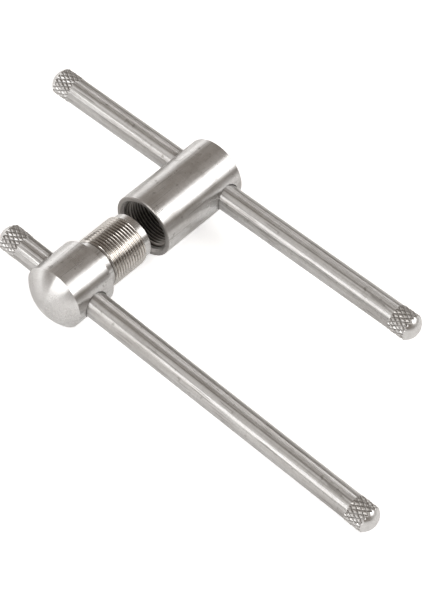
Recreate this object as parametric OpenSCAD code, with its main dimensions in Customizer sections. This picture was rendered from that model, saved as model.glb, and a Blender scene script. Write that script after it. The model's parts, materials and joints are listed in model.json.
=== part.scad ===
// Two-bar hand screw press: a blind sleeve and a screw with a domed head, each with a sliding cross bar.
// Turning the bars against each other drives the disc on the screw's nose into the sleeve's bore.
// Millimetres. The origin is the middle of the sleeve's closed end face. X runs along the screw and points
// out of that face, the sleeve's bar lies along Y, and Z is up. The press is drawn open, with the screw just
// out of the bore and the pieces lying on a flat surface.

/* [Sleeve] */
// Outside diameter of the sleeve and of the screw's head
outer_d = 20; // [19:0.5:26]
// Closed end to the axis of the sleeve's bar
sleeve_bar_x = 6.3; // [5.5:0.1:10]
// Wall between the bar's hole and the bottom of the bore
bore_floor = 1.6; // [1:0.1:4]
// Width of the chamfer that leads into the bore
mouth_chamfer = 0.7; // [0.3:0.1:1]
// Radius of the round on the closed end's edge
end_round = 0.3; // [0.2:0.1:1.5]
// Width of the broken edge round the mouth
mouth_break = 0.25; // [0.1:0.05:0.4]

/* [Screw] */
// Major diameter of the thread
thread_d = 16; // [14:0.5:16.5]
// Pitch of the thread
thread_pitch = 1; // [0.75:0.25:1.5]
// Shoulder to the end of the thread
shank_l = 16.2; // [12:0.1:24]
// Length of the relief groove behind the shoulder
relief_l = 3; // [0.8:0.1:4]
// Dome's edge to the shoulder
head_l = 14; // [12:0.5:20]
// Dome's edge to the axis of the screw's bar
head_bar_x = 6.65; // [5.5:0.05:8]
// Height of the dome above its edge
dome_h = 4.1; // [2:0.1:8]
// Radius of the round on the shoulder's edge
shoulder_round = 0.3; // [0.2:0.1:1]

/* [Discs] */
// Thickness of the press disc on the screw's nose
press_disc_l = 2.2; // [1.5:0.1:4]
// Thickness of the loose disc at the bottom of the bore
base_disc_l = 1; // [0.8:0.1:3]
// Diameter of the press disc's stub
stub_d = 6; // [4:0.5:8]
// Length of the press disc's stub
stub_l = 5; // [3:0.5:8]
// Width of the broken edges of the discs
disc_break = 0.2; // [0.1:0.05:0.3]

/* [Bars] */
// Diameter of both bars
bar_d = 8; // [6:0.1:9]
// Length of both bars, over their crowned ends
bar_l = 139; // [100:1:180]
// Length of each knurled band
knurl_l = 6; // [4:0.1:12]
// Height of the knurl's crests above the bar
knurl_rise = 0.2; // [0.15:0.05:0.3]
// Height of the crown on each end
crown_h = 2.1; // [0.5:0.1:3]
// Width of the broken edge round each crown
crown_break = 0.25; // [0.1:0.05:0.5]

/* [Fits] */
// Gap round a bar in its hole
bar_clear = 0.1; // [0.05:0.01:0.1]
// Gap round the thread in its bore
thread_clear = 0.05; // [0.02:0.01:0.1]
// Gap round the stub in its hole
stub_clear = 0.05; // [0.02:0.01:0.1]
// Gap round the press disc in the bore's plain end
press_disc_clear = 0.25; // [0.1:0.05:0.4]
// Gap round the base disc in the bore's plain end
base_disc_clear = 0.1; // [0.05:0.05:0.3]
// Gap between the press disc's back and the thread's end
disc_play = 0.05; // [0.02:0.01:0.1]
// Free length of the bore when the shoulder meets the mouth
bore_spare = 0.1; // [0:0.1:2]
// Length of the thread's bore past the end of the screwed-in thread
thread_run_out = 0.3; // [0.2:0.1:1]
// Free depth of the hole past the stub's end
stub_spare = 0.3; // [0.1:0.1:1]
// Gap between a knurled band and the stock's widest line when the bar is at a stop
stop_gap = 0.3; // [0.1:0.1:1]

/* [Position] */
// Gap between the press disc and the sleeve's mouth
open_gap = 4.3; // [0.5:0.1:20]
// Place of the sleeve's bar in its travel, from -1 at one stop to 1 at the other
sleeve_bar_place = -0.23; // [-1:0.01:1]
// Place of the screw's bar in its travel, from -1 at one stop to 1 at the other
screw_bar_place = -0.85; // [-1:0.01:-0.1]

/* [Hidden] */
$fn = 96;
// Depth of a metric thread, outside and inside, and width of its crest, for a pitch of one
OUTSIDE_THREAD_DEPTH = 0.6134;
INSIDE_THREAD_DEPTH = 0.5413;
THREAD_CREST = 0.125;
// Slope of a metric thread's flanks
FLANK_ANGLE = 30;
// Overlap of a cut past the face that it opens
CUT = 1;

outer_r = outer_d / 2;
bar_r = bar_d / 2;
bar_hole_r = bar_r + bar_clear;
knurl_r = bar_r + knurl_rise;
thread_r = thread_d / 2;
thread_root_r = thread_r - OUTSIDE_THREAD_DEPTH * thread_pitch;
thread_bore_r = thread_r + thread_clear;
chamber_r = thread_r - INSIDE_THREAD_DEPTH * thread_pitch;
press_disc_r = chamber_r - press_disc_clear;
base_disc_r = chamber_r - base_disc_clear;
stub_hole_r = stub_d / 2 + stub_clear;

// The bore takes the whole screw and both discs, so it sets the sleeve's length.
bore_l = shank_l + disc_play + press_disc_l + base_disc_l + bore_spare;
bore_bottom_x = -(sleeve_bar_x + bar_hole_r + bore_floor);
mouth_x = bore_bottom_x - bore_l;
chamber_x = mouth_x + shank_l + thread_run_out;

// Places along the screw, from the press disc's face back to the dome.
press_face_x = mouth_x - open_gap;
thread_end_x = press_face_x - press_disc_l - disc_play;
shoulder_x = thread_end_x - shank_l;
dome_x = shoulder_x - head_l;
screw_bar_x = dome_x + head_bar_x;

// The thread's grooves start at the relief and stop short of the chamfer on the thread's end.
thread_depth = thread_r - thread_root_r;
groove_half_w = (1 - THREAD_CREST) * thread_pitch / 2;
groove_x = shoulder_x + relief_l;
groove_last = floor((shank_l - relief_l - thread_depth - groove_half_w) / thread_pitch);

// Each bar slides this far to either side of its middle place.
bar_travel = bar_l / 2 - crown_h - knurl_l - outer_r - stop_gap;
sleeve_bar_mid = sleeve_bar_place * bar_travel;
screw_bar_mid = screw_bar_place * bar_travel;

// The screw is turned until the low end of its bar lies on the surface that carries the sleeve.
low_end = bar_l / 2 - crown_h - crown_break - screw_bar_mid;
low_reach = norm([low_end, knurl_r]);
rest_turn = asin(outer_r / low_reach) - atan2(knurl_r, low_end);

// Radius of the sphere whose cap has rim radius r and height h
function cap_radius(r, h) = (r * r + h * h) / (2 * h);

// Solid of revolution about X from a half outline with the radius across and X up
module turned() rotate([0, 90, 0]) rotate_extrude() children();

// Half outline of a plain cylinder from x0 to x1
module band(r, x0, x1) translate([0, x0]) square([r, x1 - x0]);

// Half outline of a spherical cap that stands on x and points along +X
module cap(r, h, x) {
    intersection() {
        translate([0, x + h - cap_radius(r, h)]) circle(cap_radius(r, h));
        band(r, x, x + h);
    }
}

// Cut that breaks an outside edge at radius r, with the material below x
module edge_break(r, x, w) {
    polygon([[r - w, x], [r + w, x - 2 * w], [r + w, x]]);
}

// Cut that rounds an outside edge at radius r, with the material below x
module edge_round(r, x, w) {
    difference() {
        translate([r - w, x - w]) square(w);
        translate([r - w, x - w]) circle(w);
    }
}

// Same outline, with X reversed about x
module reversed(x) translate([0, x]) mirror([0, 1]) translate([0, -x]) children();

// Cross hole for a bar, along Y
module bar_hole() rotate([90, 0, 0]) cylinder(r = bar_hole_r, h = outer_d + 2 * CUT, center = true);

module sleeve_outline() {
    difference() {
        band(outer_r, mouth_x, 0);
        edge_round(outer_r, 0, end_round);
        reversed(mouth_x) edge_break(outer_r, mouth_x, mouth_break);
        band(thread_bore_r, mouth_x - CUT, chamber_x);
        band(chamber_r, chamber_x - CUT, bore_bottom_x);
        polygon([[0, mouth_x - CUT], [thread_bore_r + mouth_chamfer + CUT, mouth_x - CUT],
                 [thread_bore_r, mouth_x + mouth_chamfer], [0, mouth_x + mouth_chamfer]]);
    }
}

module sleeve() {
    color("silver") difference() {
        turned() sleeve_outline();
        translate([-sleeve_bar_x, 0, 0]) bar_hole();
    }
}

module base_disc() {
    color("gainsboro") turned() difference() {
        band(base_disc_r, bore_bottom_x - base_disc_l, bore_bottom_x);
        reversed(bore_bottom_x - base_disc_l) edge_break(base_disc_r, bore_bottom_x - base_disc_l, disc_break);
    }
}

module press_disc() {
    back_x = press_face_x - press_disc_l;
    color("gainsboro") turned() {
        difference() {
            band(press_disc_r, back_x, press_face_x);
            edge_break(press_disc_r, press_face_x, disc_break);
        }
        band(stub_d / 2, back_x - disc_play - stub_l, back_x + disc_break);
    }
}

// Cut of one groove of the thread, about x
module thread_groove(x) {
    root_half_w = groove_half_w - thread_depth * tan(FLANK_ANGLE);
    polygon([[thread_root_r, x - root_half_w], [thread_r, x - groove_half_w], [thread_r + CUT, x - groove_half_w],
             [thread_r + CUT, x + groove_half_w], [thread_r, x + groove_half_w], [thread_root_r, x + root_half_w]]);
}

// Half outline of the shank. The thread's grooves are drawn as rings, one pitch apart.
module shank_outline() {
    difference() {
        band(thread_r, shoulder_x - CUT, thread_end_x);
        edge_break(thread_r, thread_end_x, thread_depth);
        translate([thread_root_r, shoulder_x]) square([thread_r, relief_l]);
        for (k = [0 : groove_last]) thread_groove(groove_x + k * thread_pitch);
    }
}

module screw_outline() {
    difference() {
        band(outer_r, dome_x, shoulder_x);
        edge_round(outer_r, shoulder_x, shoulder_round);
    }
    reversed(dome_x) cap(outer_r, dome_h, dome_x);
    shank_outline();
}

module screw() {
    color("silver") rotate([rest_turn, 0, 0]) difference() {
        turned() difference() {
            screw_outline();
            band(stub_hole_r, thread_end_x - stub_l - stub_spare, thread_end_x + CUT);
        }
        translate([screw_bar_x, 0, 0]) bar_hole();
    }
}

// Half outline of one half of a bar, from its middle to its crowned end
module bar_outline() {
    rim_x = bar_l / 2 - crown_h;
    band(bar_r, 0, rim_x);
    difference() {
        band(knurl_r, rim_x - knurl_l, rim_x);
        edge_break(knurl_r, rim_x, crown_break);
        reversed(rim_x - knurl_l) edge_break(knurl_r, rim_x - knurl_l, knurl_rise);
    }
    cap(knurl_r - crown_break, crown_h, rim_x);
}

// Bar along Y with its middle at the origin
module bar() {
    rotate([0, 0, 90]) turned() {
        bar_outline();
        mirror([0, 1]) bar_outline();
    }
}

module sleeve_bar() {
    color("lightgray") translate([-sleeve_bar_x, sleeve_bar_mid, 0]) bar();
}

module screw_bar() {
    color("lightgray") translate([screw_bar_x, 0, 0]) rotate([rest_turn, 0, 0])
        translate([0, screw_bar_mid, 0]) bar();
}

sleeve();
base_disc();
press_disc();
screw();
sleeve_bar();
screw_bar();
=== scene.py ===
import json
import math

import bmesh
import bpy
from mathutils import Matrix, Quaternion, Vector


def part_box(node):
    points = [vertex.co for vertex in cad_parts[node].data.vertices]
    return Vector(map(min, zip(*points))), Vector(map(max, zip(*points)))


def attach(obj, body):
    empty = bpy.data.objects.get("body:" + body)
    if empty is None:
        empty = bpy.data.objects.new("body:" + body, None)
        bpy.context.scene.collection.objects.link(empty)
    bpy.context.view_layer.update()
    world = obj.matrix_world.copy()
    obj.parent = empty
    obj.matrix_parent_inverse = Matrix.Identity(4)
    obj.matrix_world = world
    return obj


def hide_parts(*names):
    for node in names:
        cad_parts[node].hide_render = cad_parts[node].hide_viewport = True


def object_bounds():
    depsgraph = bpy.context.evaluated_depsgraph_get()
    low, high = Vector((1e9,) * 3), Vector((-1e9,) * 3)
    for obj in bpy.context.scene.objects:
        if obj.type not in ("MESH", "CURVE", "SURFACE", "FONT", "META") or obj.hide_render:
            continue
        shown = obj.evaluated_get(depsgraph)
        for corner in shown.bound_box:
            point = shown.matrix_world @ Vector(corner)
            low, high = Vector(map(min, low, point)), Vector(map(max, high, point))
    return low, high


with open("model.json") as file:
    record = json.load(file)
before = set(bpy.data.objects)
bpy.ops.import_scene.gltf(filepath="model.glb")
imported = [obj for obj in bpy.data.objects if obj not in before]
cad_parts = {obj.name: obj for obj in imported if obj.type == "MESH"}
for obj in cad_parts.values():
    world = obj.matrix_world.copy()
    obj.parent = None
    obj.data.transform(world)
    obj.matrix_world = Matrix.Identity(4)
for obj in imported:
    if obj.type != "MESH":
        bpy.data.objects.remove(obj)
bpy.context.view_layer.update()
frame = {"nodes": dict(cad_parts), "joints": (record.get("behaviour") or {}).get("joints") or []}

# Two-bar hand screw press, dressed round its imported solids.
# Shapes are in millimetres until they become meshes.
MM = 0.001


def box_mm(node):
    low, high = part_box(node)
    return low / MM, high / MM


# Places that the frame gives
SLEEVE_LOW, SLEEVE_HIGH = box_mm("sleeve")
SCREW_LOW, SCREW_HIGH = box_mm("screw")
SLEEVE_BAR_LOW, SLEEVE_BAR_HIGH = box_mm("sleeve_bar")
SCREW_BAR_LOW, SCREW_BAR_HIGH = box_mm("screw_bar")
SLEEVE_BAR_MIDDLE = (SLEEVE_BAR_LOW + SLEEVE_BAR_HIGH) / 2
SCREW_BAR_MIDDLE = (SCREW_BAR_LOW + SCREW_BAR_HIGH) / 2
JOINT_AXES = {joint["name"]: Vector(joint["axis"]) for joint in frame["joints"]}
SCREW_BAR_AXIS = JOINT_AXES["screw_bar_slide"]
SCREW_TURN = math.atan2(SCREW_BAR_AXIS.z, SCREW_BAR_AXIS.y)

# Sleeve
OUTER_R = SLEEVE_HIGH.z
MOUTH_X = SLEEVE_LOW.x
END_ROUND = 0.3
MOUTH_BREAK = 0.25
MOUTH_CHAMFER = 0.7
LEAD_IN_L = 1.8
INSIDE_THREAD_L = 16.5
BORE_L = 19.55
LEAD_IN_X = MOUTH_X + LEAD_IN_L
CHAMBER_X = MOUTH_X + INSIDE_THREAD_L
BORE_BOTTOM_X = MOUTH_X + BORE_L

# Screw
DOME_H = 4.1
HEAD_L = 14.0
SHOULDER_ROUND = 0.3
RELIEF_L = 3.0
STUB_HOLE_R = 3.05
STUB_HOLE_L = 5.3
DOME_X = SCREW_LOW.x + DOME_H
SHOULDER_X = DOME_X + HEAD_L
THREAD_START_X = SHOULDER_X + RELIEF_L
THREAD_END_X = SCREW_HIGH.x
STUB_HOLE_X = THREAD_END_X - STUB_HOLE_L

# Thread, with the metric standard's depths of an outside and an inside thread
PITCH = 1.0
THREAD_R = 8.0
THREAD_DEPTH = 0.6134 * PITCH
INSIDE_THREAD_DEPTH = 0.5413 * PITCH
BORE_PLAY = 0.05
THREAD_ROOT_R = THREAD_R - THREAD_DEPTH
THREAD_BORE_R = THREAD_R + BORE_PLAY
CHAMBER_R = THREAD_R - INSIDE_THREAD_DEPTH
# Its worn profile, from the middle of a crest to the middle of a root, in shares of the pitch and the depth,
# and by how much of the pitch the inside thread's grooves are wider on each side
PROFILE = ((0.0, 0.0), (0.05, 0.0), (0.38, 0.74), (0.45, 1.0), (0.5, 1.0))
INSIDE_PLAY = 0.03

# Bars, with the share of the knurl's period that a groove takes
BAR_R = 4.0
BAR_L = SLEEVE_BAR_HIGH.y - SLEEVE_BAR_LOW.y
KNURL_R = (SLEEVE_BAR_HIGH.x - SLEEVE_BAR_LOW.x) / 2
KNURL_SINK = 0.12
KNURL_ROOT_R = BAR_R - KNURL_SINK
KNURL_L = 6.0
KNURL_STARTS = 18
KNURL_PERIOD = 2.3
KNURL_GROOVE = 0.85
CROWN_H = 2.1
CROWN_BREAK = 0.25

# Cross holes, and the length of wall round each
HOLE_PLAY = 0.1
HOLE_BREAK = 0.2
HOLE_MARGIN = 1.1
BAR_HOLE_R = BAR_R + HOLE_PLAY
PIERCED_L = 2 * (BAR_HOLE_R + HOLE_MARGIN)

# Places of the materials in the list of the sleeve or the screw, and then in that of a bar.
# Place 0 is the plain wall.
THREAD_LOOK = 1
HOLE_LOOK = 2
FACED_LOOK = 3
MOUTH_LOOK = 4
KNURL_LOOK = 1
CROWN_LOOK = 2

# Fineness of the meshes
TURNED_COLUMNS = 192
KNURL_STEPS = 10
ROUND_STEPS = 6
DOME_STEPS = 24
CROWN_STEPS = 14
PATCH_HALF = 18
PATCH_ROWS = 24
PATCH_RINGS = 6
WELD_GAP = 0.0002
SHARP_ANGLE = math.radians(32)


class Skin:
    """Closed mesh about the X axis, gathered ring by ring and turned about that axis."""

    def __init__(self, columns, turn=0.0):
        self.columns = columns
        self.turn = Matrix.Rotation(turn, 3, "X")
        self.points = []
        self.faces = []
        self.looks = []

    def put(self, x, y, z):
        self.points.append(self.turn @ Vector((x, y, z)) * MM)
        return len(self.points) - 1

    def at(self, x, radius, column):
        turn = 2 * math.pi * column / self.columns
        return self.put(x, radius * math.cos(turn), radius * math.sin(turn))

    def ring(self, x, radius):
        return [self.at(x, radius, column) for column in range(self.columns)]

    def face(self, corners, look=0):
        self.faces.append(corners)
        self.looks.append(look)

    def band(self, first, second, look=0):
        """Faces between two rings of as many points."""
        for here in range(len(first)):
            there = (here + 1) % len(first)
            self.face((first[here], first[there], second[there], second[here]), look)

    def turned(self, start, outline, look=0):
        """Wall from a ring along an outline of (x, radius) pairs. Returns the last ring."""
        for x, radius in outline:
            ring = self.ring(x, radius)
            self.band(start, ring, look)
            start = ring
        return start

    def build(self, name, materials):
        """Joins points that coincide, drops loose ones and makes the object."""
        mesh = bpy.data.meshes.new(name)
        mesh.from_pydata(self.points, [], self.faces)
        mesh.polygons.foreach_set("material_index", self.looks)
        mesh.polygons.foreach_set("use_smooth", [True] * len(self.faces))
        shape = bmesh.new()
        shape.from_mesh(mesh)
        bmesh.ops.remove_doubles(shape, verts=shape.verts, dist=WELD_GAP * MM)
        loose = [vert for vert in shape.verts if not vert.link_faces]
        bmesh.ops.delete(shape, geom=loose, context="VERTS")
        bmesh.ops.recalc_face_normals(shape, faces=shape.faces)
        shape.to_mesh(mesh)
        shape.free()
        mesh.set_sharp_from_angle(angle=SHARP_ANGLE)
        for material in materials:
            mesh.materials.append(material)
        made = bpy.data.objects.new(name, mesh)
        bpy.context.scene.collection.objects.link(made)
        return made


def arc(x, radius, size, first, last, steps):
    """Points on an arc about (x, radius), from one angle in degrees to another, where 0 points along +X."""
    angles = [math.radians(first + (last - first) * step / steps) for step in range(steps + 1)]
    return [(x + size * math.cos(a), radius + size * math.sin(a)) for a in angles]


def rounded_edge(x, size):
    """Outline of the round between the outer wall and a flat face at x that looks along +X."""
    return arc(x - size, OUTER_R - size, size, 90, 0, ROUND_STEPS)


def cap_outline(rim_x, rim_r, height, steps):
    """Outline of a spherical cap that points along +X, from its top to its rim."""
    size = (rim_r ** 2 + height ** 2) / (2 * height)
    spread = math.degrees(math.asin(rim_r / size))
    return arc(rim_x + height - size, 0, size, 0, spread, steps)


def thread_drop(share, play=0.0):
    """Depth of the thread's profile, 0 on a crest and 1 in a root, at a share of the pitch past a crest.
    play widens the crests."""
    away = max(min(share, 1 - share) - play, 0)
    for (start, high), (end, low) in zip(PROFILE, PROFILE[1:]):
        if away <= end:
            return high + (low - high) * (away - start) / (end - start)


def threaded_band(skin, first_x, last_x, radius_at, play=0.0):
    """Wall whose rows follow a right-handed thread between two flat ends. Returns its end rings."""
    knees = [at + play for at, _ in PROFILE[1:-1]]
    shares = [0.0] + knees + [1 - at for at in reversed(knees)]
    turns = range(math.floor(first_x / PITCH) - 1, math.ceil(last_x / PITCH) + 1)
    starts = [(turn + share) * PITCH for turn in turns for share in shares]
    columns = []
    for column in range(skin.columns):
        climb = PITCH * column / skin.columns
        places = [min(max(start + climb, first_x), last_x) for start in starts]
        columns.append([skin.at(x, radius_at(x, (x - climb) / PITCH % 1), column) for x in places])
    for column in range(skin.columns):
        here = columns[column]
        there = columns[(column + 1) % skin.columns]
        lead = len(shares) if column == skin.columns - 1 else 0
        for row in range(len(starts) - 1 - lead):
            corners = (here[row], here[row + 1], there[row + 1 + lead], there[row + lead])
            skin.face(corners, THREAD_LOOK)
    return [column[0] for column in columns], [column[-1] for column in columns]


def hole_loop(skin, side, radius, hole_x, border):
    """Wall between a border on a cylinder and the edge of a cross hole.
    Returns the ring just inside the hole."""
    edge_r = BAR_HOLE_R + HOLE_BREAK
    bearings = [math.atan2(reach, x - hole_x) for x, reach, _ in border]
    ring = [point for _, _, point in border]
    for step in range(PATCH_RINGS - 1, -1, -1):
        share = step / PATCH_RINGS
        inner = []
        for (x, reach, _), bearing in zip(border, bearings):
            edge_x = hole_x + edge_r * math.cos(bearing)
            edge_reach = radius * math.asin(edge_r * math.sin(bearing) / radius)
            turn = (edge_reach + (reach - edge_reach) * share) / radius
            height = side * radius * math.cos(turn)
            inner.append(skin.put(edge_x + (x - edge_x) * share, height, radius * math.sin(turn)))
        skin.band(ring, inner)
        ring = inner
    wall = []
    for bearing in bearings:
        z = BAR_HOLE_R * math.sin(bearing)
        height = side * (math.sqrt(radius ** 2 - z ** 2) - HOLE_BREAK)
        wall.append(skin.put(hole_x + BAR_HOLE_R * math.cos(bearing), height, z))
    skin.band(ring, wall, HOLE_LOOK)
    return wall


def pierced_band(skin, start, radius, hole_x):
    """Cylinder wall from a ring, along X, with a cross hole along Y in its middle. Returns the last ring."""
    first_x = hole_x - PIERCED_L / 2
    places = [first_x + PIERCED_L * row / PATCH_ROWS for row in range(PATCH_ROWS + 1)]
    rows = [skin.ring(x, radius) for x in places]
    skin.band(start, rows[0])
    half_turn = skin.columns // 2
    span = range(-PATCH_HALF, PATCH_HALF)
    pierced = {(middle + j) % skin.columns for middle in (0, half_turn) for j in span}
    whole = [column for column in range(skin.columns) if column not in pierced]
    for low, high in zip(rows, rows[1:]):
        for column in whole:
            there = (column + 1) % skin.columns
            skin.face((low[column], low[there], high[there], high[column]))
    path = [(0, j) for j in span]
    path += [(row, PATCH_HALF) for row in range(PATCH_ROWS)]
    path += [(PATCH_ROWS, j) for j in range(PATCH_HALF, -PATCH_HALF, -1)]
    path += [(row, -PATCH_HALF) for row in range(PATCH_ROWS, 0, -1)]
    walls = []
    for side, middle in ((1, 0), (-1, half_turn)):
        border = []
        for row, j in path:
            reach = radius * 2 * math.pi * j / skin.columns
            border.append((places[row], reach, rows[row][(middle + side * j) % skin.columns]))
        walls.append(hole_loop(skin, side, radius, hole_x, border))
    skin.band(*walls, HOLE_LOOK)
    return rows[-1]


def make_sleeve(materials):
    """Blind sleeve: rounded closed end, cross hole, chamfered mouth, inside thread and plain chamber."""

    def bore_radius(x, share):
        groove = THREAD_BORE_R - THREAD_DEPTH * thread_drop(share, INSIDE_PLAY)
        return max(groove, CHAMBER_R, THREAD_BORE_R - (x - LEAD_IN_X))

    skin = Skin(TURNED_COLUMNS)
    mouth = skin.ring(MOUTH_X, THREAD_BORE_R + MOUTH_CHAMFER)
    broken_edge = [(MOUTH_X, OUTER_R - MOUTH_BREAK), (MOUTH_X + MOUTH_BREAK, OUTER_R)]
    edge = skin.turned(mouth, broken_edge, MOUTH_LOOK)
    edge = pierced_band(skin, edge, OUTER_R, SLEEVE_BAR_MIDDLE.x)
    closed_end = skin.turned(edge, rounded_edge(0, END_ROUND))
    skin.turned(closed_end, [(0, 0)], FACED_LOOK)
    chamfer = skin.turned(mouth, [(MOUTH_X + MOUTH_CHAMFER, THREAD_BORE_R)], MOUTH_LOOK)
    plain = skin.turned(chamfer, [(LEAD_IN_X, THREAD_BORE_R)])
    lead_in, run_out = threaded_band(skin, LEAD_IN_X, CHAMBER_X, bore_radius, INSIDE_PLAY)
    skin.band(plain, lead_in, THREAD_LOOK)
    chamber = [(CHAMBER_X, CHAMBER_R), (BORE_BOTTOM_X, CHAMBER_R), (BORE_BOTTOM_X, 0)]
    skin.turned(run_out, chamber, THREAD_LOOK)
    return skin.build("sleeve_body", materials)


def make_screw(materials):
    """Screw: domed head with a cross hole, rounded shoulder, relief groove, outside thread and stub hole."""

    def screw_radius(x, share):
        ridge = THREAD_R - THREAD_DEPTH * thread_drop(share)
        lead = THREAD_ROOT_R + min(x - THREAD_START_X, THREAD_END_X - x)
        return min(ridge, lead)

    skin = Skin(TURNED_COLUMNS, SCREW_TURN)
    dome = [(-x, radius) for x, radius in cap_outline(-DOME_X, OUTER_R, DOME_H, DOME_STEPS)]
    edge = skin.turned(skin.ring(*dome[0]), dome[1:], FACED_LOOK)
    edge = pierced_band(skin, edge, OUTER_R, SCREW_BAR_MIDDLE.x)
    relief = [(SHOULDER_X, THREAD_ROOT_R), (THREAD_START_X, THREAD_ROOT_R)]
    groove = skin.turned(edge, rounded_edge(SHOULDER_X, SHOULDER_ROUND) + relief)
    lead_in, nose = threaded_band(skin, THREAD_START_X, THREAD_END_X, screw_radius)
    skin.band(groove, lead_in, THREAD_LOOK)
    stub_hole = [(THREAD_END_X, STUB_HOLE_R), (STUB_HOLE_X, STUB_HOLE_R), (STUB_HOLE_X, 0)]
    skin.turned(nose, stub_hole)
    return skin.build("screw_body", materials)


def knurl_rise(across, along):
    """Height of the diamond knurl, 0 in its grooves and 1 on its narrow crests.
    The place is counted in steps round and along the bar."""
    rise = 1.0
    for step in (across + along, across - along):
        share = step / KNURL_STEPS % 1
        rise = min(rise, 2 * min(share, 1 - share) / KNURL_GROOVE)
    return rise


def knurled_band(skin, start, first_x, last_x):
    """Diamond knurl from a ring of the bar's radius to its outer chamfer. Returns the last ring.
    Each square is split along the diagonal that follows the knurl."""
    count = round(abs(last_x - first_x) / (KNURL_PERIOD / KNURL_STEPS))
    depth = KNURL_R - KNURL_ROOT_R
    rings = [start]
    for row in range(1, count + 1):
        radii = [KNURL_ROOT_R + depth * knurl_rise(column, row) for column in range(skin.columns)]
        x = first_x + (last_x - first_x) * row / count
        rings.append([skin.at(x, radius, column) for column, radius in enumerate(radii)])
    for row, (low, high) in enumerate(zip(rings, rings[1:])):
        for column in range(skin.columns):
            there = (column + 1) % skin.columns
            corners = (low[column], low[there], high[there], high[column])
            middle = 2 * knurl_rise(column + 0.5, row + 0.5)
            straight = knurl_rise(column, row) + knurl_rise(column + 1, row + 1)
            crossed = knurl_rise(column + 1, row) + knurl_rise(column, row + 1)
            first = 0 if abs(straight - middle) < abs(crossed - middle) else 1
            for corner in (first, first + 2):
                skin.face([corners[(corner + k) % 4] for k in range(3)], KNURL_LOOK)
    return rings[-1]


def make_bar(name, middle, axis, materials):
    """Round bar with a knurled band and a crowned face at both ends. Its own X axis lies along axis."""
    skin = Skin(KNURL_STARTS * KNURL_STEPS)
    rim_x = BAR_L / 2 - CROWN_H
    knurl_x = rim_x - KNURL_L
    crown = cap_outline(rim_x, KNURL_R - CROWN_BREAK, CROWN_H, CROWN_STEPS)
    plain = [skin.ring(side * knurl_x, BAR_R) for side in (-1, 1)]
    skin.band(*plain)
    for side, ring in zip((-1, 1), plain):
        knurl = knurled_band(skin, ring, side * knurl_x, side * (rim_x - CROWN_BREAK))
        skin.turned(knurl, [(side * x, radius) for x, radius in reversed(crown)], CROWN_LOOK)
    made = skin.build(name, materials)
    across = Vector((-1, 0, 0))
    turn = Matrix((axis, across, axis.cross(across))).transposed()
    made.matrix_world = Matrix.Translation(middle * MM) @ turn.to_4x4()
    return made


def feed(tree, socket, value):
    """Links a socket to another, or sets its value."""
    if isinstance(value, bpy.types.NodeSocket):
        tree.links.new(value, socket)
    else:
        socket.default_value = value


def calc(tree, operation, *inputs):
    made = tree.nodes.new("ShaderNodeMath")
    made.operation = operation
    for socket, value in zip(made.inputs, inputs):
        feed(tree, socket, value)
    return made.outputs[0]


def between(tree, value, low, high, to_low=0.0, to_high=1.0):
    """Value from low to high, smoothly mapped to another range and held there."""
    made = tree.nodes.new("ShaderNodeMapRange")
    made.interpolation_type = "SMOOTHSTEP"
    for socket, given in zip(made.inputs, (value, low, high, to_low, to_high)):
        feed(tree, socket, given)
    return made.outputs[0]


def noise(tree, place, waves, detail=2.0, rough=0.5):
    made = tree.nodes.new("ShaderNodeTexNoise")
    feed(tree, made.inputs["Vector"], place)
    made.inputs["Scale"].default_value = waves
    made.inputs["Detail"].default_value = detail
    made.inputs["Roughness"].default_value = rough
    return made.outputs["Fac"]


def vector(tree, x, y, z):
    made = tree.nodes.new("ShaderNodeCombineXYZ")
    for socket, value in zip(made.inputs, (x, y, z)):
        feed(tree, socket, value)
    return made.outputs[0]


def mix(tree, share, first, second):
    made = tree.nodes.new("ShaderNodeMix")
    made.data_type = "RGBA"
    feed(tree, made.inputs["Factor"], share)
    feed(tree, made.inputs["A"], first)
    feed(tree, made.inputs["B"], second)
    return made.outputs["Result"]


def shade(colour, share=1.0):
    """Colour for a socket, darker or lighter by a share."""
    return tuple(channel * share for channel in colour) + (1.0,)


# Colours of the steel and of what lies on it. The inside thread's and the mouth's steel are darker as painted
# shade, and the darkest colour is dirt and painted shade towards roots and rims
STEEL = (0.62, 0.615, 0.608)
# Darker steel of the inside thread: painted shade in the deep bore
SHADED_BORE_STEEL = (0.50, 0.478, 0.453)
BRIGHT_THREAD = (0.62, 0.595, 0.565)
# Darker steel of the mouth's face, chamfer and edge: painted shade
SHADED_MOUTH_STEEL = (0.36, 0.347, 0.335)
SMUDGE = (0.36, 0.335, 0.31)
DIRT_AND_SHADE = (0.05, 0.042, 0.035)

# Fineness of the textures, in waves per metre
CLOUD_WAVES = 110.0
MOTTLE_WAVES = 620.0
GRAIN_WAVES = 3500.0
SMUDGE_WAVES = 170.0
SCRATCH_WAVES = 2000.0
NICK_WAVES = 480.0
SPECK_WAVES = 1300.0
LINE_WAVES = 1400.0

# Width of the fine rings that turning leaves, how many of them a coarse ring takes, and how far both stray
RING_MM = 0.12
BAR_RING_MM = 0.10
COARSE_RING = 6
RING_STRAY = 0.02

# Share of the way along X that counts for a texture: the smaller it is, the longer the marks
SMUDGE_SHARE = 0.35
DRAWN_SMUDGE_SHARE = 0.08
SCRATCH_SHARE = 0.04
LINE_SHARE = 0.005

# Clouds: the noise where they start and where they are full, and the shades between which they change
CLOUD_START = 0.3
CLOUD_FULL = 0.7
CLOUD_DARK = 1.06
CLOUD_LIGHT = 1.16

# Shades of the other textures and of the darkest marks
DARKER = 0.6
DARKEST = 0.4

# Roughness that clouds take away and add, and that scratches and smudges add
CLOUD_SMOOTH = 0.02
CLOUD_ROUGH = 0.04
SCRATCH_ROUGH = 0.08
SMUDGE_ROUGH = 0.05

# Relief in millimetres, its strength, and the scratches' share of it
RELIEF_MM = 0.02
RELIEF_STRENGTH = 0.2
SCRATCH_DEPTH = 0.6

# Turn of the blur, as a share of a whole turn, from round the X axis to along it
BLUR_TURN = 0.25


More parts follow.
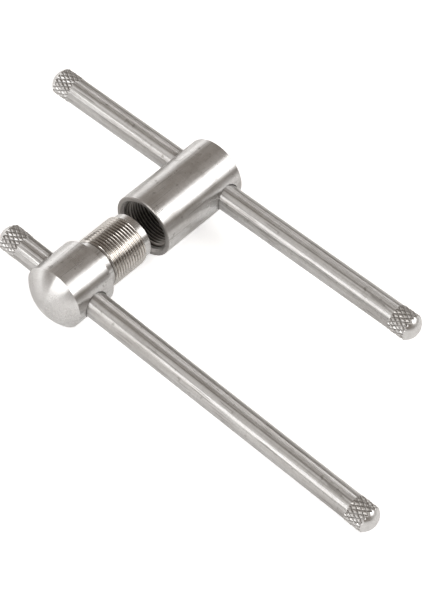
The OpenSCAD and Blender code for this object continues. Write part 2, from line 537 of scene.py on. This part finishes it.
def bare_metal(name, stretch):
    """Metal whose reflections are drawn out along X, across the marks of the lathe."""
    material = bpy.data.materials.new(name)
    material.use_nodes = True
    tree = material.node_tree
    shader = tree.nodes["Principled BSDF"]
    shader.inputs["Metallic"].default_value = 1.0
    shader.inputs["Anisotropic"].default_value = stretch
    shader.inputs["Anisotropic Rotation"].default_value = BLUR_TURN
    tangent = tree.nodes.new("ShaderNodeTangent")
    tangent.direction_type = "RADIAL"
    tangent.axis = "X"
    tree.links.new(tangent.outputs["Tangent"], shader.inputs["Tangent"])
    return material, tree, shader


def steel(name, rough, stretch, ring_mm=RING_MM, colour=STEEL, darkening=None, streak=0.0, wear=1.0):
    """Turned steel: fine and coarse rings round the X axis, mottling, smudges, scratches, nicks and specks.
    The darkening towards roots and rims is given as the radius where it is deepest, the one where it ends,
    and its share where it is deepest.
    streak is the strength of the lengthwise lines that drawing leaves, and wear that of smudges, scratches,
    nicks and specks."""
    material, tree, shader = bare_metal(name, stretch)
    place = tree.nodes.new("ShaderNodeTexCoord").outputs["Object"]
    parts = tree.nodes.new("ShaderNodeSeparateXYZ")
    tree.links.new(place, parts.inputs[0])
    x, y, z = parts.outputs
    squares = calc(tree, "ADD", calc(tree, "MULTIPLY", y, y), calc(tree, "MULTIPLY", z, z))
    radius = calc(tree, "SQRT", squares)
    lathe = vector(tree, x, radius, calc(tree, "MULTIPLY", calc(tree, "ADD", y, z), RING_STRAY))

    def drawn_out(share):
        return vector(tree, calc(tree, "MULTIPLY", x, share), y, z)

    def mark(texture, start, full):
        return between(tree, texture, start, full, 0.0, wear)

    rings = noise(tree, lathe, 1 / (ring_mm * MM), detail=3.0, rough=0.6)
    bands = noise(tree, lathe, 1 / (COARSE_RING * ring_mm * MM), rough=0.6)
    cloud = noise(tree, place, CLOUD_WAVES, detail=4.0, rough=0.6)
    mottle = noise(tree, place, MOTTLE_WAVES, detail=3.0, rough=0.6)
    grain = noise(tree, place, GRAIN_WAVES, detail=1.0)
    smeared = drawn_out(DRAWN_SMUDGE_SHARE if streak else SMUDGE_SHARE)
    smudges = mark(noise(tree, smeared, SMUDGE_WAVES, detail=4.0, rough=0.62), 0.45, 0.66)
    scratches = mark(noise(tree, drawn_out(SCRATCH_SHARE), SCRATCH_WAVES, detail=1.0), 0.63, 0.70)
    nicks = mark(noise(tree, place, NICK_WAVES, detail=3.0, rough=0.6), 0.62, 0.72)
    specks = mark(noise(tree, place, SPECK_WAVES, detail=0.0), 0.83, 0.87)

    clouded = between(tree, cloud, CLOUD_START, CLOUD_FULL)
    tint = mix(tree, clouded, shade(colour, CLOUD_DARK), shade(colour, CLOUD_LIGHT))
    # Fine textures that darken the steel: the noise where each starts and is full, and its share there
    fine_textures = (
        (mottle, 0.40, 0.75, 0.14),
        (grain, 0.35, 0.70, 0.22),
        (bands, 0.40, 0.75, 0.14),
        (rings, 0.35, 0.65, 0.10),
    )
    for texture, start, full, share in fine_textures:
        tint = mix(tree, between(tree, texture, start, full, 0.0, share), tint, shade(colour, DARKER))
    # Marks of use: the share and the colour of each
    marks_of_use = (
        (smudges, 0.5, shade(SMUDGE)),
        (scratches, 0.4, shade(SMUDGE, DARKER)),
        (nicks, 0.5, shade(SMUDGE, DARKER)),
        (specks, 0.3, shade(colour, DARKEST)),
    )
    for texture, share, stain in marks_of_use:
        tint = mix(tree, calc(tree, "MULTIPLY", texture, share), tint, stain)
    if streak:
        lines = noise(tree, drawn_out(LINE_SHARE), LINE_WAVES)
        tint = mix(tree, between(tree, lines, 0.52, 0.66, 0.0, streak), tint, shade(SMUDGE, DARKEST))
    # Darkening towards roots and rims: painted shade in the bore, dirt and painted shade in the outside
    # thread and the cross holes, plain darkening in the knurl
    if darkening:
        deepest, faded, most = darkening
        share = between(tree, radius, deepest * MM, faded * MM, most, 0.0)
        tint = mix(tree, share, tint, shade(DIRT_AND_SHADE))
    tree.links.new(tint, shader.inputs["Base Color"])

    gloss = between(tree, cloud, CLOUD_START, CLOUD_FULL, rough - CLOUD_SMOOTH, rough + CLOUD_ROUGH)
    gloss = calc(tree, "ADD", gloss, calc(tree, "MULTIPLY", scratches, SCRATCH_ROUGH))
    gloss = calc(tree, "ADD", gloss, calc(tree, "MULTIPLY", smudges, SMUDGE_ROUGH))
    tree.links.new(gloss, shader.inputs["Roughness"])
    bump = tree.nodes.new("ShaderNodeBump")
    bump.inputs["Strength"].default_value = RELIEF_STRENGTH
    bump.inputs["Distance"].default_value = RELIEF_MM * MM
    height = calc(tree, "SUBTRACT", rings, calc(tree, "MULTIPLY", scratches, SCRATCH_DEPTH))
    tree.links.new(calc(tree, "SUBTRACT", height, specks), bump.inputs["Height"])
    tree.links.new(bump.outputs["Normal"], shader.inputs["Normal"])
    return material


# Camera, fitted to the photograph: where it stands, seen from its target, in degrees and millimetres
CAMERA_AZIMUTH = -142.275
CAMERA_ELEVATION = 50.357
CAMERA_ROLL = 5.161
CAMERA_DISTANCE = 925.5
CAMERA_TARGET = Vector((-31.372, -27.103, -10.0))
CAMERA_LENS = 195.29


def heading(azimuth, elevation):
    """Unit vector towards an azimuth, from +X towards +Y, and an elevation, in degrees."""
    a, e = math.radians(azimuth), math.radians(elevation)
    return Vector((math.cos(a) * math.cos(e), math.sin(a) * math.cos(e), math.sin(e)))


def make_camera():
    data = bpy.data.cameras.new("camera")
    data.lens = CAMERA_LENS
    camera = bpy.data.objects.new("camera", data)
    back = heading(CAMERA_AZIMUTH, CAMERA_ELEVATION)
    camera.location = (CAMERA_TARGET + back * CAMERA_DISTANCE) * MM
    camera.rotation_mode = "QUATERNION"
    roll = Quaternion((0, 0, 1), math.radians(CAMERA_ROLL))
    camera.rotation_quaternion = (-back).to_track_quat("-Z", "Y") @ roll
    bpy.context.scene.collection.objects.link(camera)
    bpy.context.scene.camera = camera


def dot(tree, direction, axis):
    made = tree.nodes.new("ShaderNodeVectorMath")
    made.operation = "DOT_PRODUCT"
    tree.links.new(direction, made.inputs[0])
    made.inputs[1].default_value = axis
    return made.outputs["Value"]


def panel(tree, direction, azimuth, elevation, half_width, half_height, edges):
    """Share of a flat soft panel that a direction meets. Its half sizes are at a distance of 1,
    and edges are the softness of its sides, its foot and its top there."""
    towards = heading(azimuth, elevation)
    side = Vector((0, 0, 1)).cross(towards).normalized()
    ahead = dot(tree, direction, towards)
    across = calc(tree, "ABSOLUTE", calc(tree, "DIVIDE", dot(tree, direction, side), ahead))
    up = calc(tree, "DIVIDE", dot(tree, direction, towards.cross(side)), ahead)
    soft_side, soft_foot, soft_top = edges
    share = between(tree, across, half_width + soft_side, half_width - soft_side)
    foot = between(tree, up, -half_height - soft_foot, -half_height + soft_foot)
    top = between(tree, up, half_height + soft_top, half_height - soft_top)
    share = calc(tree, "MULTIPLY", share, calc(tree, "MULTIPLY", foot, top))
    return calc(tree, "MULTIPLY", share, calc(tree, "GREATER_THAN", ahead, 0.0))


# Room, its horizon, and how high the horizon's colour reaches, as the sine of the elevation
ROOM = (0.26, 0.225, 0.195)
HORIZON = (0.27, 0.25, 0.23)
HORIZON_TOP = 0.35

# Soft panels round the object: azimuth, elevation, half width, half height, softness of the edges, brightness
PANELS = (
    # Main softbox, between +X and -Y, with a faint glow above it
    (-46, 37.5, 0.42, 0.203, (0.06, 0.25, 0.105), 5.0),
    (-26, 58, 0.40, 0.22, (0.30, 0.20, 0.20), 0.3),
    # Second softbox, towards -X
    (179, 25, 0.34, 0.265, (0.03, 0.08, 0.10), 3.4),
    # High light between -X and +Y, and a low wall towards +Y
    (135, 54, 0.60, 0.26, (0.30, 0.20, 0.12), 1.1),
    (88, 8, 0.72, 0.30, (0.10, 0.05, 0.38), 1.45),
    # Faint glow below each softbox
    (-60, 5, 0.30, 0.06, (0.15, 0.08, 0.10), 0.2),
    (194, 5, 0.28, 0.10, (0.08, 0.06, 0.08), 0.5),
)


def make_world():
    """Dim warm room above a paler horizon, with the soft panels of a studio."""
    world = bpy.data.worlds.new("studio")
    bpy.context.scene.world = world
    world.use_nodes = True
    tree = world.node_tree
    direction = tree.nodes.new("ShaderNodeTexCoord").outputs["Generated"]
    height = dot(tree, direction, (0, 0, 1))
    light = mix(tree, between(tree, height, 0.0, HORIZON_TOP), shade(HORIZON), shade(ROOM))
    for *shape, brightness in PANELS:
        added = tree.nodes.new("ShaderNodeVectorMath")
        added.operation = "MULTIPLY_ADD"
        tree.links.new(panel(tree, direction, *shape), added.inputs[0])
        added.inputs[1].default_value = (brightness,) * 3
        tree.links.new(light, added.inputs[2])
        light = added.outputs[0]
    tree.links.new(light, tree.nodes["Background"].inputs["Color"])


# Floor: its side in metres, its gap to the object in millimetres, and its colour
FLOOR_SIZE = 40.0
FLOOR_GAP = 0.02
FLOOR_COLOUR = (0.9, 0.9, 0.9)
# Light that it adds to what the eye sees of it, and to what the steel sees of it. The latter grows from the
# screw's bar towards -X, up to a distance from the dome.
FLOOR_TO_EYE = 0.6
FLOOR_TO_STEEL = 0.2
FLOOR_TO_STEEL_FAR = 0.45
FAR_FLOOR_L = 60.0


def make_floor():
    """Plain white floor that keeps the shadow, with a little light of its own."""
    low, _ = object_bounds()
    mesh = bpy.data.meshes.new("floor")
    half = FLOOR_SIZE / 2
    corners = [(-half, -half, 0), (half, -half, 0), (half, half, 0), (-half, half, 0)]
    mesh.from_pydata(corners, [], [(0, 1, 2, 3)])
    floor = bpy.data.objects.new("floor", mesh)
    floor.location.z = low.z - FLOOR_GAP * MM
    bpy.context.scene.collection.objects.link(floor)
    material = bpy.data.materials.new("floor_white")
    material.use_nodes = True
    tree = material.node_tree
    shader = tree.nodes["Principled BSDF"]
    shader.inputs["Base Color"].default_value = shade(FLOOR_COLOUR)
    shader.inputs["Roughness"].default_value = 1.0
    shader.inputs["Specular IOR Level"].default_value = 0.0
    shader.inputs["Emission Color"].default_value = (1.0, 1.0, 1.0, 1.0)
    path = tree.nodes.new("ShaderNodeLightPath")
    seen_by_steel = calc(tree, "MAXIMUM", path.outputs["Is Glossy Ray"], path.outputs["Is Transmission Ray"])
    place = tree.nodes.new("ShaderNodeSeparateXYZ")
    tree.links.new(tree.nodes.new("ShaderNodeTexCoord").outputs["Object"], place.inputs[0])
    near_x = SCREW_BAR_MIDDLE.x * MM
    far_x = (SCREW_LOW.x - FAR_FLOOR_L) * MM
    glow = between(tree, place.outputs["X"], near_x, far_x, FLOOR_TO_STEEL, FLOOR_TO_STEEL_FAR)
    to_steel = calc(tree, "MULTIPLY", seen_by_steel, glow)
    to_eye = calc(tree, "MULTIPLY", path.outputs["Is Camera Ray"], FLOOR_TO_EYE)
    tree.links.new(calc(tree, "ADD", to_steel, to_eye), shader.inputs["Emission Strength"])
    mesh.materials.append(material)


# Darkening towards the threads' and the knurl's roots and the mouths of the cross holes: painted shade in the
# deep bore, dirt and painted shade in the outside thread's roots and round the bars in the holes, and plain
# darkening in the knurl's roots.
# Each gives the radius where it is deepest, the radius where it ends, and its share where it is deepest
bore_painted_shade = (THREAD_BORE_R, CHAMBER_R - 0.1, 0.9)
root_dirt_and_shade = (THREAD_ROOT_R, THREAD_ROOT_R + 0.25, 0.6)
hole_dirt_and_shade = (OUTER_R, BAR_HOLE_R, 0.85)
knurl_root_darkening = (KNURL_ROOT_R, KNURL_ROOT_R + 0.15, 0.6)

# Materials. Faced ends, the dome and the crowns are cleaner than the rest.
FACED_WEAR = 0.15
turned_steel = steel("turned_steel", rough=0.28, stretch=0.93)
dome_steel = steel("dome_steel", rough=0.28, stretch=0.93, wear=FACED_WEAR)
# The mouth's face, chamfer and edge are a darker copy of the steel: painted shade, which also dims their
# highlight
mouth_steel = steel("mouth_steel", rough=0.36, stretch=0.4, colour=SHADED_MOUTH_STEEL)
# The cross holes' edges and walls darken towards their rims: dirt and painted shade in the gap round each bar
hole_steel = steel("hole_steel", rough=0.40, stretch=0.3, darkening=hole_dirt_and_shade)
# The inside thread is darker, and darkest in its roots: painted shade in the deep bore
inside_thread = steel("inside_thread_steel", rough=0.36, stretch=0.6, colour=SHADED_BORE_STEEL, darkening=bore_painted_shade)
# The outside thread darkens towards its roots: dirt and painted shade of the shoulder and the neighbouring
# crests
outside_thread = steel("outside_thread_steel", rough=0.11, stretch=0.3, colour=BRIGHT_THREAD, darkening=root_dirt_and_shade)
bar_steel = steel("bar_steel", rough=0.345, stretch=1.0, ring_mm=BAR_RING_MM, streak=0.28)
# The knurl darkens towards its roots
knurl_steel = steel("knurl_steel", rough=0.34, stretch=0.0, ring_mm=BAR_RING_MM, darkening=knurl_root_darkening)
crown_steel = steel("crown_steel", rough=0.27, stretch=0.0, wear=FACED_WEAR)
disc_steel = steel("disc_steel", rough=0.24, stretch=0.9)

# Pieces, each on its body and in place of its plain solid
sleeve_body = make_sleeve([turned_steel, inside_thread, hole_steel, dome_steel, mouth_steel])
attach(sleeve_body, "sleeve")
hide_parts("sleeve")

screw_body = make_screw([turned_steel, outside_thread, hole_steel, dome_steel])
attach(screw_body, "screw")
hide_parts("screw")

for node, middle in (("sleeve_bar", SLEEVE_BAR_MIDDLE), ("screw_bar", SCREW_BAR_MIDDLE)):
    axis = JOINT_AXES[node + "_slide"]
    bar = make_bar(node + "_knurled", middle, axis, [bar_steel, knurl_steel, crown_steel])
    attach(bar, node)
    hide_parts(node)

# The discs keep their solids and only change their material
for node in ("press_disc", "base_disc"):
    disc = frame["nodes"][node]
    disc.data.materials.clear()
    disc.data.materials.append(disc_steel)

make_floor()
make_world()
make_camera()
bpy.context.scene.view_settings.view_transform = "Standard"
